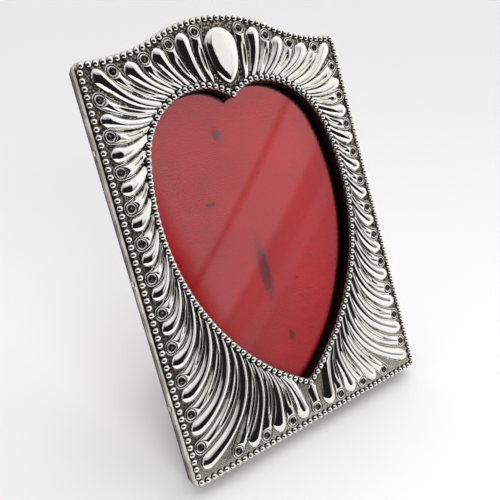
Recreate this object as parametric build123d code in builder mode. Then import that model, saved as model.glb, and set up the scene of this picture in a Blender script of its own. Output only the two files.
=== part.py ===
from build123d import *
from math import asin, atan, cos, degrees, pi, radians, sin, tan
import os

# A standing photo frame: an embossed silver front with a heart opening, on a wooden core with
# glass, lining card, lift-out back, turn buttons and a hinged easel leg. Millimetres.
# The row frame has +Z up and the front facing -Y; the origin is the middle of the flat that
# the core stands on. Inside the leaning "front" plane, x is across, y is up and z is outwards.

# stance
lean = 25.0
leg_rake = 13.0
sole_w = 1.0

# silver front
case_w = 129.0
shoulder_h = 166.5
hump_rise = 13.4
crown_r = 68.0
corner_r = 3.5
sheet_t = 0.6
side_depth = 4.5
edge_bevel = 0.5

# heart opening, drawn on the centre line of its bead row
cusp_y = 146.0
tip_y = 17.7
cusp_angle = 41.0
cusp_r = 22.0
lobe_r = 32.3
lobe_turn = 75.0
flank_r = 103.0
hip_r = 93.0
hip_turn = 31.8
heart_edge = 1.4

# bead rows
bead_in = 2.0
bead_r = 1.38
bead_h = 1.4
bead_pitch = 2.95
bead_sides = 4
solder_t = 0.05

# raised flutes between the bead rows: lobes alternate with eyed ribs
flute_sink = 0.2
flute_start = 2.2
lobe_in = 5.0
lobe_w = 6.0
lobe_h = 2.2
lobe_toe_w = 1.5
lobe_toe_h = 0.5
rib_w = 1.9
rib_h = 1.0
rib_toe_w = 1.0
rib_toe_h = 0.45
lobe_facets = 3
rib_facets = 2
eye_in = 6.2
eye_r = 2.1
eye_h = 0.8
pip_r = 1.0
pip_h = 0.7
eye_sides = 6
pip_sides = 4
eye_taper = 20.0

# places of the eyed ribs along the border and of the corner lobes, on the right half
top_eyes = (12.2, 26.6, 38.0, 51.1)
side_ribs = 11
foot_ribs = 3
side_end_in = 15.2
foot_last_in = 21.5
top_corner_in = (7.1, 4.5)
foot_corner_in = (5.5, 7.6)

# sweep of the flutes, from the first at the top to the last at the foot: the share of the heart line
# they start at, the angle they start at, off square to that line, and their bearing at the border
heart_places = ((0, 0.052), (0.2, 0.193), (0.315, 0.269), (0.485, 0.458), (0.83, 0.786), (1, 0.911))
heart_swirls = ((0, 34), (0.2, 46), (0.315, 58), (0.43, 72), (0.54, 72), (0.83, 60), (1, 72))
border_ways = (
    (0, 267),
    (0.143, 248),
    (0.2, 233),
    (0.257, 206),
    (0.371, 165),
    (0.829, 164),
    (0.857, 131),
    (0.914, 113),
    (1, 76),
)
heart_curl = 0.42
border_curl = 0.36

# plain drop at the top centre
drop_r = 7.8
drop_y = 166.9
drop_tip_y = 150.5
drop_h = 2.6
drop_round = 3.6

# wooden core and what its rebate holds
lip_t = 3.2
glass_t = 1.6
picture_gap = 4.0
spacer_w = 2.2
card_t = 0.8
door_t = 3.2
seat_lap = 4.5
skin_fit = 0.1
plate_fit = 0.25
return_short = 0.1
back_bevel_w = 4.2
back_bevel_h = 6.2
bevel_over = 1.0

# pins that hold the silver to the core
pin_w = 0.9
pin_head_w = 1.8
pin_head_h = 0.3
pin_l = 5.0
pin_back = 2.8
pin_rows = 3
pin_row_gap = 50.0
pin_foot_gap = 80.0
hole_fit = 0.04

# turn buttons on the back
button_l = 13.0
button_w = 5.0
button_t = 0.8
button_rows = (48.0, 128.0)
button_lift = 0.1
button_pin_r = 0.9
button_pin_l = 4.0
button_shank_w = 1.2
button_head_r = 1.9
button_head_h = 0.8
button_chamfer = 1.4
turn_fit = 0.05
turned_sides = 12
head_sides = 8

# easel hinge
hinge_y = 112.0
hinge_w = 18.0
hinge_plate_h = 16.0
leaf_t = 0.8
knuckle_r = 1.8
knuckle_gap = 0.3
knuckle_w = 6.8
knuckle_side_gap = 0.2
hinge_pin_r = 0.9
pin_end = 0.6
press_fit = 0.02
tongue_l = 9.0
stop_gap = 0.05
leaf_l = 18.0
leaf_w = 13.0
nail_w = 1.0
nail_l = 2.0
nail_head_r = 1.2
nail_head_h = 0.5
plate_nail_x = 6.0
plate_nail_in = 3.5
leaf_nail_x = 4.0
leaf_nail_in = 4.0

# easel leg
leg_t = 2.8
leg_top_w = 20.0
leg_foot_w = 38.0
leg_top_gap = 0.6

# levels behind the front face, and the plane of that face
case_depth = sheet_t + lip_t + glass_t + picture_gap + card_t + door_t
core_in = sheet_t + skin_fit
sole_cut = sole_w * sin(radians(lean)) * cos(radians(lean))
heel_y = sole_w / 2 - sole_cut * tan(radians(lean))
front = Plane(
    origin=(
        0,
        heel_y - core_in * sin(radians(lean)) - case_depth * cos(radians(lean)),
        -sole_cut - core_in * cos(radians(lean)) + case_depth * sin(radians(lean)),
    ),
    x_dir=(1, 0, 0),
    z_dir=(0, -cos(radians(lean)), sin(radians(lean))),
)
back = front.offset(-case_depth)

# ogee top: two equal-angle arcs, level at the crown and at the shoulder
ogee_run = case_w / 2 - corner_r
ogee_turn = degrees(2 * atan(hump_rise / ogee_run))
hollow_r = ogee_run / sin(radians(ogee_turn)) - crown_r
crown_y = shoulder_h + hump_rise - crown_r

# extremes of the heart line, for the rebate behind it
heart_top = cusp_y + cusp_r * (1 - cos(radians(cusp_angle)))
heart_half = (
    cusp_r * sin(radians(cusp_angle))
    + lobe_r * sin(radians(lobe_turn))
    + flank_r * (1 - sin(radians(lobe_turn)))
)
core_half = case_w / 2 - core_in
rebate_half = heart_half + seat_lap
rebate_low = tip_y - seat_lap
rebate_top = heart_top + seat_lap
rebate_mid = (rebate_low + rebate_top) / 2


def ogee_side(inset):
    """The right half of the ogee top, moved in by inset, from the shoulder to the crown."""
    hollow = JernArc((ogee_run, shoulder_h - inset), (-1, 0), hollow_r + inset, -ogee_turn)
    JernArc(hollow @ 1, hollow % 1, crown_r - inset, ogee_turn)


def border_line(inset):
    """The case outline, moved in by inset, as one closed line."""
    corner = corner_r - inset
    foot = Line((0, inset), (case_w / 2 - corner_r, inset))
    low = JernArc(foot @ 1, (1, 0), corner, 90)
    side = Line(low @ 1, (case_w / 2 - inset, shoulder_h - corner_r))
    JernArc(side @ 1, (0, 1), corner, 90)
    ogee_side(inset)
    mirror(about=Plane.YZ)


def heart_side():
    """The right half of the heart line, from its cusp to its tip."""
    cusp_way = (cos(radians(cusp_angle)), sin(radians(cusp_angle)))
    rise = JernArc((0, cusp_y), cusp_way, cusp_r, -cusp_angle)
    shoulder = JernArc(rise @ 1, rise % 1, lobe_r, -lobe_turn)
    flank = JernArc(shoulder @ 1, shoulder % 1, flank_r, lobe_turn - 90)
    hip = JernArc(flank @ 1, flank % 1, hip_r, -hip_turn)
    TangentArc(hip @ 1, (0, tip_y), tangent=hip % 1)


def heart_sketch(plane, grow):
    """The heart as a face on a plane, grown outwards by grow."""
    with BuildSketch(plane) as heart:
        with BuildLine():
            heart_side()
            mirror(about=Plane.YZ)
        make_face()
        offset(amount=grow)
    return heart.sketch


def rebate_sketch(plane, fit):
    """The outline of what lies in the rebate, smaller than it by fit all round."""
    with BuildSketch(plane) as plate:
        with Locations((0, rebate_mid)):
            Rectangle(2 * (rebate_half - fit), rebate_top - rebate_low - 2 * fit)
    return plate.sketch


def bevel_sketch(edge_place, outwards):
    """The wedge taken off the core's back edge, on a plane through that edge and square to it."""
    with BuildSketch(Plane(edge_place, x_dir=outwards, z_dir=outwards.cross(-front.z_dir))) as wedge:
        with BuildLine():
            Polyline(
                (-back_bevel_w, 0),
                (0, -back_bevel_h),
                (bevel_over, -back_bevel_h),
                (bevel_over, bevel_over),
                (-back_bevel_w, bevel_over),
                close=True,
            )
        make_face()
    return wedge.sketch


def between(knots, place):
    """The value at a place, on straight lines through the knots."""
    for (low, first), (high, last) in zip(knots, knots[1:]):
        if place <= high:
            return first + (last - first) * (place - low) / (high - low)
    return knots[-1][1]


def top_station(x, inset):
    """A point at inset below the ogee top."""
    if abs(x) < crown_r * sin(radians(ogee_turn)):
        slope = asin(x / crown_r)
        edge = Vector(x, crown_y + crown_r * cos(slope))
    else:
        slope = asin((ogee_run - x) / hollow_r)
        edge = Vector(x, shoulder_h + hollow_r * (1 - cos(slope)))
    return edge - Vector(sin(slope), cos(slope)) * inset


def flute_stations():
    """The outer ends of the right half's flutes from top to foot, as pairs: is it a lobe, and where."""
    ends = []
    for k, x in enumerate(top_eyes):
        if k > 0:
            ends.append((True, top_station((top_eyes[k - 1] + x) / 2, lobe_in)))
        ends.append((False, top_station(x, eye_in)))
    ends.append((True, Vector(case_w / 2 - top_corner_in[0], shoulder_h - top_corner_in[1])))
    side_pitch = (shoulder_h - 2 * side_end_in) / (side_ribs - 1)
    for k in range(2 * side_ribs - 1):
        is_lobe = k % 2 == 1
        inset = lobe_in if is_lobe else eye_in
        ends.append((is_lobe, Vector(case_w / 2 - inset, shoulder_h - side_end_in - k * side_pitch / 2)))
    ends.append((True, Vector(case_w / 2 - foot_corner_in[0], foot_corner_in[1])))
    foot_pitch = (case_w / 2 - foot_last_in) / foot_ribs
    for k in range(2 * foot_ribs):
        is_lobe = k % 2 == 1
        inset = lobe_in if is_lobe else eye_in
        ends.append((is_lobe, Vector(case_w / 2 - foot_last_in - k * foot_pitch / 2, inset)))
    return ends


def flute(start, start_way, end, end_way, form, facets, full, toe):
    """A raised flute along a curve, ruled through facetted sections from its toe to its full size."""
    reach = (end - start).length
    with BuildLine() as guide:
        Bezier(start, start - start_way * reach * heart_curl, end + end_way * reach * border_curl, end)
    curve = guide.edge()
    sections = []
    for share, swell in form:
        wide = toe[0] + (full[0] - toe[0]) * swell
        high = toe[1] + (full[1] - toe[1]) * swell
        way = curve.tangent_at(share)
        across = Plane(curve.position_at(share), Plane.XY.z_dir.cross(way), way)
        arch = [k * pi / facets for k in range(facets + 1)]
        with BuildSketch(Plane(front.location * across.location)) as section:
            with BuildLine():
                Polyline(
                    *[(-wide / 2 * cos(a), (high + flute_sink) * sin(a) - flute_sink) for a in arch],
                    close=True,
                )
            make_face()
        sections.append(section.sketch)
    return loft(sections, ruled=True, mode=Mode.PRIVATE)


def eye(place):
    """The eye at a rib's outer end: a low boss with a pip on it."""
    with BuildSketch(front.offset(-flute_sink)) as boss:
        with Locations(place):
            RegularPolygon(eye_r, eye_sides)
    boss_solid = extrude(boss.sketch, amount=eye_h + flute_sink, taper=eye_taper, mode=Mode.PRIVATE)
    with BuildSketch(front.offset(eye_h - flute_sink)) as pip:
        with Locations(place):
            RegularPolygon(pip_r, pip_sides)
    pip_solid = extrude(pip.sketch, amount=pip_h + flute_sink, taper=eye_taper, mode=Mode.PRIVATE)
    return [boss_solid, pip_solid]


def drop_sketch(level, shrink):
    """The drop's outline at a level above the face: round at the top, drawn to a blunt point below."""
    round_r = drop_r - shrink
    with BuildSketch(front.offset(level)) as drop:
        with BuildLine():
            ThreePointArc((-round_r, drop_y), (0, drop_y + round_r), (round_r, drop_y))
            flank = TangentArc((round_r, drop_y), (0, drop_tip_y + shrink), tangent=(0, -1))
            mirror(flank, about=Plane.YZ)
        make_face()
    return drop.sketch


def bead_row(places):
    """Low facetted beads standing on the face at the given places."""
    with BuildSketch(front.offset(solder_t)) as base:
        RegularPolygon(bead_r, bead_sides)
    peak = Vertex(*front.from_local_coords((0, 0, solder_t + bead_h)))
    bead = loft([base.sketch, peak], ruled=True, mode=Mode.PRIVATE)
    return [bead.moved(Location(front.from_local_coords(place) - front.origin)) for place in places]


def on_back(x, y):
    """A plane on the wooden back at x, y, looking out of the back."""
    return Plane(back.from_local_coords((x, y, 0)), x_dir=(1, 0, 0), z_dir=-back.z_dir)


def nail(plane, shank_w, shank_l, head_r, head_h):
    """A square-shanked nail whose head sits on the plane and whose shank runs down into it."""
    add(square_post(plane, shank_w, -shank_l))
    with BuildSketch(plane) as head:
        RegularPolygon(head_r, head_sides)
    extrude(head.sketch, amount=head_h)


def pin_planes():
    """Planes on the silver's sides, looking outwards, one for each fixing pin."""
    planes = []
    for row in range(pin_rows):
        y = shoulder_h / 2 + (row - (pin_rows - 1) / 2) * pin_row_gap
        for hand in (-1, 1):
            place = front.from_local_coords((hand * case_w / 2, y, -pin_back))
            planes.append(Plane(place, x_dir=front.y_dir, z_dir=(hand, 0, 0)))
    for hand in (-1, 1):
        place = front.from_local_coords((hand * pin_foot_gap / 2, 0, -pin_back))
        planes.append(Plane(place, x_dir=(1, 0, 0), z_dir=-front.y_dir))
    return planes


def square_post(plane, width, rise):
    """A square post standing on the plane, or sunk below it where rise is negative."""
    with BuildSketch(plane) as post:
        Rectangle(width, width)
    return extrude(post.sketch, amount=rise, mode=Mode.PRIVATE)


lobe_form = ((0.0, 0.0), (0.35, 0.22), (0.7, 0.68), (0.9, 1.0), (1.0, 0.5))
rib_form = ((0.0, 0.0), (0.35, 0.35), (0.7, 0.7), (1.0, 1.0))
lobe_full = (lobe_w, lobe_h)
lobe_toe = (lobe_toe_w, lobe_toe_h)
rib_full = (rib_w, rib_h)
rib_toe = (rib_toe_w, rib_toe_h)

with BuildLine() as heart_right:
    heart_side()
heart_curve = heart_right.wire()
with BuildLine() as bead_border:
    border_line(bead_in)
border_curve = bead_border.wire()

# places that more than one piece takes its seat from
button_x = (rebate_half + core_half - back_bevel_w) / 2
button_planes = {
    "upper_left": on_back(-button_x, button_rows[1]),
    "upper_right": on_back(button_x, button_rows[1]),
    "lower_left": on_back(-button_x, button_rows[0]),
    "lower_right": on_back(button_x, button_rows[0]),
}
hinge_out = knuckle_gap + knuckle_r
axis_plane = on_back(0, hinge_y).offset(hinge_out)
plate_low = hinge_y + knuckle_r + knuckle_gap
plate_nail_planes = [
    on_back(hand * plate_nail_x, y).offset(leaf_t)
    for hand in (-1, 1)
    for y in (plate_low + plate_nail_in, plate_low + hinge_plate_h - plate_nail_in)
]
leg_plane = Plane(
    axis_plane.origin,
    x_dir=(-1, 0, 0),
    z_dir=(0, cos(radians(leg_rake)), sin(radians(leg_rake))),
)
leg_skin = leg_plane.offset(knuckle_r - leaf_t)
leg_top = -(knuckle_r + leg_top_gap)
leaf_nail_planes = [
    Plane(leg_skin.offset(leaf_t).from_local_coords((x, y, 0)), x_dir=(-1, 0, 0), z_dir=leg_plane.z_dir)
    for x, y in (
        (-leaf_nail_x, leg_top - leaf_nail_in),
        (leaf_nail_x, leg_top - leaf_nail_in),
        (0, -leaf_l + leaf_nail_in),
    )
]

os.makedirs("parts", exist_ok=True)

# silver front: dished sheet, heart opening with its inner return, flutes, eyes and the plain drop
with BuildPart() as silver_front:
    with BuildSketch(front):
        with BuildLine():
            border_line(0)
        make_face()
    extrude(amount=-side_depth)
    chamfer(silver_front.faces().sort_by(Axis((0, 0, 0), front.z_dir))[-1].edges(), edge_bevel)
    with BuildSketch(front.offset(-sheet_t)):
        with BuildLine():
            border_line(sheet_t)
        make_face()
    extrude(amount=-side_depth, mode=Mode.SUBTRACT)
    extrude(heart_sketch(front, sheet_t - heart_edge), amount=-(sheet_t + lip_t - return_short))
    extrude(heart_sketch(front, -heart_edge), amount=-(sheet_t + lip_t), mode=Mode.SUBTRACT)
    raised = []
    stations = flute_stations()
    for count, (is_lobe, end) in enumerate(stations):
        step = count / (len(stations) - 1)
        share = between(heart_places, step)
        along = heart_curve.tangent_at(share)
        swirl = radians(between(heart_swirls, step))
        into = Vector(along.Y, -along.X)
        start_way = into * cos(swirl) - along * sin(swirl)
        bearing = radians(between(border_ways, step))
        end_way = Vector(cos(bearing), sin(bearing))
        start = heart_curve.position_at(share) - into * flute_start
        if is_lobe:
            raised.append(flute(start, start_way, end, end_way, lobe_form, lobe_facets, lobe_full, lobe_toe))
        else:
            raised.append(flute(start, start_way, end, end_way, rib_form, rib_facets, rib_full, rib_toe))
            raised.extend(eye(end))
    raised.extend([mirror(solid, about=Plane.YZ, mode=Mode.PRIVATE) for solid in raised])
    tip, up = Vector(0, tip_y - flute_start), Vector(0, 1)
    raised.append(flute(tip, up, Vector(0, eye_in), up, rib_form, rib_facets, rib_full, rib_toe))
    raised.extend(eye((0, eye_in)))
    add(raised)
    drop_form = ((-flute_sink, 0), (drop_h / 2, drop_round / 4), (drop_h, drop_round))
    loft([drop_sketch(level, shrink) for level, shrink in drop_form], ruled=True)
    for plane in pin_planes():
        add(square_post(plane, pin_w + 2 * hole_fit, -2 * sheet_t), mode=Mode.SUBTRACT)
silver_front.part.label = "silver_front"
export_step(silver_front.part, "parts/silver_front.step")

# bead row round the border
with BuildPart() as outer_beading:
    bead_count = round(border_curve.length / bead_pitch)
    border_places = [border_curve.position_at(k / bead_count) for k in range(bead_count)]
    add(bead_row(border_places))
outer_beading.part.label = "outer_beading"
export_step(outer_beading.part, "parts/outer_beading.step")

# bead row round the heart, with one bead at the cusp and one at the tip
with BuildPart() as inner_beading:
    bead_count = round(heart_curve.length / bead_pitch)
    right_places = [heart_curve.position_at(k / bead_count) for k in range(bead_count + 1)]
    left_places = [Vector(-place.X, place.Y) for place in right_places[1:-1]]
    add(bead_row(right_places + left_places))
inner_beading.part.label = "inner_beading"
export_step(inner_beading.part, "parts/inner_beading.step")

# wooden core: the board inside the silver, bevelled at the back, with the heart cut through and a rebate
with BuildPart() as core:
    with BuildSketch(front.offset(-sheet_t)):
        with BuildLine():
            border_line(core_in)
        make_face()
    extrude(amount=sheet_t - case_depth)
    for hand in (-1, 1):
        side_edge = back.from_local_coords((hand * core_half, 0, 0))
        wedge = bevel_sketch(side_edge, Vector(hand, 0, 0))
        extrude(wedge, amount=hand * shoulder_h, mode=Mode.SUBTRACT)
    with BuildLine(mode=Mode.PRIVATE) as top_line:
        Line((case_w / 2, shoulder_h - core_in), (ogee_run, shoulder_h - core_in))
        ogee_side(core_in)
        mirror(about=Plane.YZ)
    top_edge = back.location * top_line.wire()
    sweep(bevel_sketch(top_edge @ 0, front.y_dir), path=top_edge, mode=Mode.SUBTRACT)
    heart_hole = heart_sketch(front, core_in - heart_edge)
    extrude(heart_hole, amount=-case_depth, mode=Mode.SUBTRACT)
    extrude(rebate_sketch(back, 0), amount=case_depth - sheet_t - lip_t, mode=Mode.SUBTRACT)
    split(bisect_by=Plane.XY, keep=Keep.TOP)
    for plane in pin_planes():
        add(square_post(plane, pin_w + 2 * hole_fit, -pin_l), mode=Mode.SUBTRACT)
    for plane in button_planes.values():
        add(square_post(plane, button_shank_w + 2 * hole_fit, -button_pin_l), mode=Mode.SUBTRACT)
core.part.label = "core"
export_step(core.part, "parts/core.step")

# flat glass against the back of the core's lip
with BuildPart() as glass:
    extrude(rebate_sketch(front.offset(-sheet_t - lip_t), plate_fit), amount=-glass_t)
glass.part.label = "glass"
export_step(glass.part, "parts/glass.step")

# spacer round the edge of the glass: it holds the glass to the lip and leaves room for a picture
with BuildPart() as spacer:
    glass_back = front.offset(-sheet_t - lip_t - glass_t)
    extrude(rebate_sketch(glass_back, plate_fit), amount=-picture_gap)
    extrude(rebate_sketch(glass_back, plate_fit + spacer_w), amount=-picture_gap, mode=Mode.SUBTRACT)
spacer.part.label = "spacer"
export_step(spacer.part, "parts/spacer.step")

# red lining card in front of the back board
with BuildPart() as lining_card:
    extrude(rebate_sketch(back.offset(door_t), plate_fit), amount=card_t)
lining_card.part.label = "lining_card"
export_step(lining_card.part, "parts/lining_card.step")

# lift-out back board, flush with the core
with BuildPart() as back_board:
    extrude(rebate_sketch(back, plate_fit), amount=door_t)
    for plane in plate_nail_planes:
        add(square_post(plane, nail_w + 2 * hole_fit, -leaf_t - nail_l), mode=Mode.SUBTRACT)
back_board.part.label = "back_board"
export_step(back_board.part, "parts/back_board.step")

# pins through the silver's sides into the core
with BuildPart() as front_pins:
    for plane in pin_planes():
        add(square_post(plane, pin_w, -pin_l))
        add(square_post(plane, pin_head_w, pin_head_h))
front_pins.part.label = "front_pins"
export_step(front_pins.part, "parts/front_pins.step")

# turn buttons: each is a bar on a pin near its outer end, pointing inwards over the back board
for corner, plane in button_planes.items():
    hand = -1 if corner.endswith("left") else 1
    with BuildPart() as turn_button:
        with BuildSketch(plane.offset(button_lift)):
            with Locations((-hand * (button_l - button_w) / 2, 0)):
                bar = Rectangle(button_l, button_w)
            chamfer(bar.vertices(), button_chamfer)
            RegularPolygon(button_pin_r + turn_fit, turned_sides, major_radius=False, mode=Mode.SUBTRACT)
        extrude(amount=button_t)
    turn_button.part.label = "turn_button_" + corner
    export_step(turn_button.part, "parts/turn_button_" + corner + ".step")

# pins that the turn buttons swing on: a turned neck and head on a square shank
with BuildPart() as button_pins:
    for plane in button_planes.values():
        neck_h = 2 * button_lift + button_t
        with BuildSketch(plane):
            RegularPolygon(button_pin_r, turned_sides)
        extrude(amount=neck_h)
        with BuildSketch(plane.offset(neck_h)):
            RegularPolygon(button_head_r, head_sides)
        extrude(amount=button_head_h)
        add(square_post(plane, button_shank_w, -button_pin_l))
button_pins.part.label = "button_pins"
export_step(button_pins.part, "parts/button_pins.step")

# fixed hinge plate on the back board, with a knuckle at each end
with BuildPart() as hinge_plate:
    with BuildSketch(back):
        with Locations((0, plate_low)):
            Rectangle(hinge_w, hinge_plate_h, align=(Align.CENTER, Align.MIN))
        with Locations((0, hinge_y)):
            Rectangle(hinge_w, hinge_plate_h / 2, align=(Align.CENTER, Align.MIN))
        with Locations((0, hinge_y)):
            Rectangle(
                knuckle_w + 2 * knuckle_side_gap,
                plate_low - hinge_y,
                align=(Align.CENTER, Align.MIN),
                mode=Mode.SUBTRACT,
            )
    extrude(amount=-leaf_t)
    with BuildSketch(Plane(axis_plane.origin, x_dir=front.y_dir, z_dir=(1, 0, 0))):
        Circle(knuckle_r)
    extrude(amount=hinge_w / 2, both=True)
    with BuildSketch(Plane(axis_plane.origin, x_dir=front.y_dir, z_dir=(1, 0, 0))):
        Circle(knuckle_r + knuckle_gap)
    extrude(amount=knuckle_w / 2 + knuckle_side_gap, both=True, mode=Mode.SUBTRACT)
    with BuildSketch(Plane(axis_plane.origin, x_dir=front.y_dir, z_dir=(1, 0, 0))):
        Circle(hinge_pin_r + press_fit)
    extrude(amount=hinge_w, both=True, mode=Mode.SUBTRACT)
    for plane in plate_nail_planes:
        add(square_post(plane, nail_w + 2 * hole_fit, -leaf_t), mode=Mode.SUBTRACT)
hinge_plate.part.label = "hinge_plate"
export_step(hinge_plate.part, "parts/hinge_plate.step")

# nails that hold the hinge plate to the back board
with BuildPart() as hinge_plate_nails:
    for plane in plate_nail_planes:
        nail(plane, nail_w, nail_l + leaf_t, nail_head_r, nail_head_h)
hinge_plate_nails.part.label = "hinge_plate_nails"
export_step(hinge_plate_nails.part, "parts/hinge_plate_nails.step")

# hinge pin through the three knuckles
with BuildPart() as hinge_pin:
    with BuildSketch(Plane(axis_plane.origin, x_dir=front.y_dir, z_dir=(1, 0, 0))):
        Circle(hinge_pin_r)
    extrude(amount=hinge_w / 2 + pin_end, both=True)
hinge_pin.part.label = "hinge_pin"
export_step(hinge_pin.part, "parts/hinge_pin.step")

# swinging hinge leaf: middle knuckle, strap down the leg, and a tongue that stops on the fixed plate
with BuildPart() as leg_leaf:
    with BuildSketch(leg_skin):
        Rectangle(knuckle_w, leaf_l, align=(Align.CENTER, Align.MAX))
        with Locations((0, leg_top)):
            Rectangle(leaf_w, leaf_l + leg_top, align=(Align.CENTER, Align.MAX))
    extrude(amount=leaf_t)
    with BuildSketch(back.offset(-leaf_t - stop_gap)):
        with Locations((0, hinge_y)):
            Rectangle(knuckle_w, tongue_l, align=(Align.CENTER, Align.MIN))
    extrude(amount=-leaf_t)
    with BuildSketch(Plane(axis_plane.origin, x_dir=front.y_dir, z_dir=(1, 0, 0))):
        Circle(knuckle_r)
    extrude(amount=knuckle_w / 2, both=True)
    with BuildSketch(Plane(axis_plane.origin, x_dir=front.y_dir, z_dir=(1, 0, 0))):
        Circle(hinge_pin_r + turn_fit)
    extrude(amount=hinge_w, both=True, mode=Mode.SUBTRACT)
    for plane in leaf_nail_planes:
        add(square_post(plane, nail_w + 2 * hole_fit, -leaf_t), mode=Mode.SUBTRACT)
leg_leaf.part.label = "leg_leaf"
export_step(leg_leaf.part, "parts/leg_leaf.step")

# easel leg: a tapered board, cut level where it stands
with BuildPart() as leg:
    leg_reach = axis_plane.origin.Z / cos(radians(leg_rake)) + 2 * leg_t
    with BuildSketch(leg_skin):
        with BuildLine():
            Polyline(
                (-leg_top_w / 2, leg_top),
                (leg_top_w / 2, leg_top),
                (leg_foot_w / 2, -leg_reach),
                (-leg_foot_w / 2, -leg_reach),
                close=True,
            )
        make_face()
    extrude(amount=-leg_t)
    split(bisect_by=Plane.XY, keep=Keep.TOP)
    for plane in leaf_nail_planes:
        add(square_post(plane, nail_w + 2 * hole_fit, -leaf_t - nail_l), mode=Mode.SUBTRACT)
leg.part.label = "leg"
export_step(leg.part, "parts/leg.step")

# nails that hold the swinging leaf to the leg
with BuildPart() as leg_leaf_nails:
    for plane in leaf_nail_planes:
        nail(plane, nail_w, nail_l + leaf_t, nail_head_r, nail_head_h)
leg_leaf_nails.part.label = "leg_leaf_nails"
export_step(leg_leaf_nails.part, "parts/leg_leaf_nails.step")
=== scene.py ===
import bmesh
import bpy
import math
import numpy as np
from mathutils import Matrix


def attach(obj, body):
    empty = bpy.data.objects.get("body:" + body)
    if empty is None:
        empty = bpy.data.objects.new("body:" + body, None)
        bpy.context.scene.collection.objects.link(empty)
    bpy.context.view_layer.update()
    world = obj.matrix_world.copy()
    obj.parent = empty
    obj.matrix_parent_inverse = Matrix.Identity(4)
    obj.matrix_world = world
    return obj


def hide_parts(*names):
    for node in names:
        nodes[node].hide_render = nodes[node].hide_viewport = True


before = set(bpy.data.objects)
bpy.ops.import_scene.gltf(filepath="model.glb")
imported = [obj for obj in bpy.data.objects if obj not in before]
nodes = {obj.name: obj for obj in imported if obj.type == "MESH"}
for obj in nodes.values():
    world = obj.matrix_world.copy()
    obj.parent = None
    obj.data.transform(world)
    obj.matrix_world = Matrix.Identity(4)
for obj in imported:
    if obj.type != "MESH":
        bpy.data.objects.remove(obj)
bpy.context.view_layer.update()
print("frame loaded:", len(nodes), "nodes")

mm = 0.001
weld = 1e-7  # metres: points nearer than this become one
onLine = 1e-6  # millimetres: a point nearer than this to the centre line is on it

# how the case stands; its leaning front face carries all the silver work
stance = {"lean": 25.0, "legLean": 12.8, "caseDepth": 13.4, "coreIn": 0.7, "soleWide": 1.0}
leanSin = math.sin(math.radians(stance["lean"]))
leanCos = math.cos(math.radians(stance["lean"]))
soleCut = stance["soleWide"] * leanSin * leanCos
heelY = stance["soleWide"] / 2 - soleCut * leanSin / leanCos
frontY = heelY - stance["coreIn"] * leanSin - stance["caseDepth"] * leanCos
frontZ = -soleCut - stance["coreIn"] * leanCos + stance["caseDepth"] * leanSin


def toRow(across, up, out):  # millimetres on the front face to metres in the shared frame
    across, up, out = np.broadcast_arrays(across, up, out)
    y = frontY + up * leanSin - out * leanCos
    z = frontZ + up * leanCos + out * leanSin
    return np.stack([across, y, z], -1) * mm


def smooth(low, high, value):  # eases from 0 at low to 1 at high
    share = np.clip((value - low) / (high - low), 0, 1)
    return share * share * (3 - 2 * share)


def unit(way):
    return way / np.linalg.norm(way, axis=-1, keepdims=True)


def leftOf(way):  # a quarter turn on the front face
    return np.stack([-way[..., 1], way[..., 0]], -1)


def flipped(points, hand=-1):  # mirrored in the centre line, for a hand of -1
    return points * np.array([hand, 1])


def circle(count):
    turn = np.linspace(0, 2 * math.pi, count, endpoint=False)
    return np.stack([np.cos(turn), np.sin(turn)], -1)


# outlines: the border of the case and the heart, right halves from top to foot
case = {
    "wide": 129.0,
    "shoulder": 166.5,
    "hump": 13.4,
    "crownRadius": 68.0,
    "cornerRadius": 3.5,
    "sideDepth": 4.5,
    "sheet": 0.6,
    "edgeRoll": 1.5,
    "topPoints": 80,  # on each of the two arcs of the top
    "cornerPoints": 30,
}
heart = {
    "cusp": 146.0,
    "tip": 17.7,
    "cuspAngle": 41.0,
    "arcs": ((22.0, 41.0), (32.3, 75.0), (103.0, 15.0), (93.0, 31.8)),  # radius and turn
    "arcPoints": 60,
    "edge": 1.4,  # from the bead line into the opening
    "returnDepth": 3.7,
    "lipRoll": 0.5,
}


class Outline:  # a fine line with a direction at each point, read by its share of the length
    searchSteps = 4000

    def __init__(self, points, ways):
        self.points = np.array(points)
        self.ways = np.array(ways)
        steps = np.linalg.norm(np.diff(self.points, axis=0), axis=1)
        self.shares = np.concatenate([[0], np.cumsum(steps)]) / steps.sum()

    def at(self, share):
        point = np.stack([np.interp(share, self.shares, self.points[:, i]) for i in (0, 1)], -1)
        way = np.stack([np.interp(share, self.shares, self.ways[:, i]) for i in (0, 1)], -1)
        return point, unit(way)

    def nearest(self, point):
        shares = np.linspace(0, 1, self.searchSteps + 1)
        return shares[np.argmin(np.linalg.norm(self.at(shares)[0] - np.array(point), axis=1))]


def borderOutline():  # ways point inwards
    corner = case["cornerRadius"]
    crown = case["crownRadius"]
    run = case["wide"] / 2 - corner
    turn = 2 * math.atan(case["hump"] / run)
    hollow = run / math.sin(turn) - crown
    crownV = case["shoulder"] + case["hump"] - crown
    points = []
    ways = []
    for a in np.linspace(0, turn, case["topPoints"]):
        points.append((crown * math.sin(a), crownV + crown * math.cos(a)))
        ways.append((-math.sin(a), -math.cos(a)))
    for a in np.linspace(turn, 0, case["topPoints"])[1:]:
        points.append((run - hollow * math.sin(a), case["shoulder"] + hollow * (1 - math.cos(a))))
        ways.append((-math.sin(a), -math.cos(a)))
    for centreV, start in ((case["shoulder"] - corner, math.pi / 2), (corner, 0.0)):
        for a in np.linspace(start, start - math.pi / 2, case["cornerPoints"]):
            points.append((run + corner * math.cos(a), centreV + corner * math.sin(a)))
            ways.append((-math.cos(a), -math.sin(a)))
    points.append((0.0, 0.0))
    ways.append((0.0, 1.0))
    return Outline(points, ways)


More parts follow.
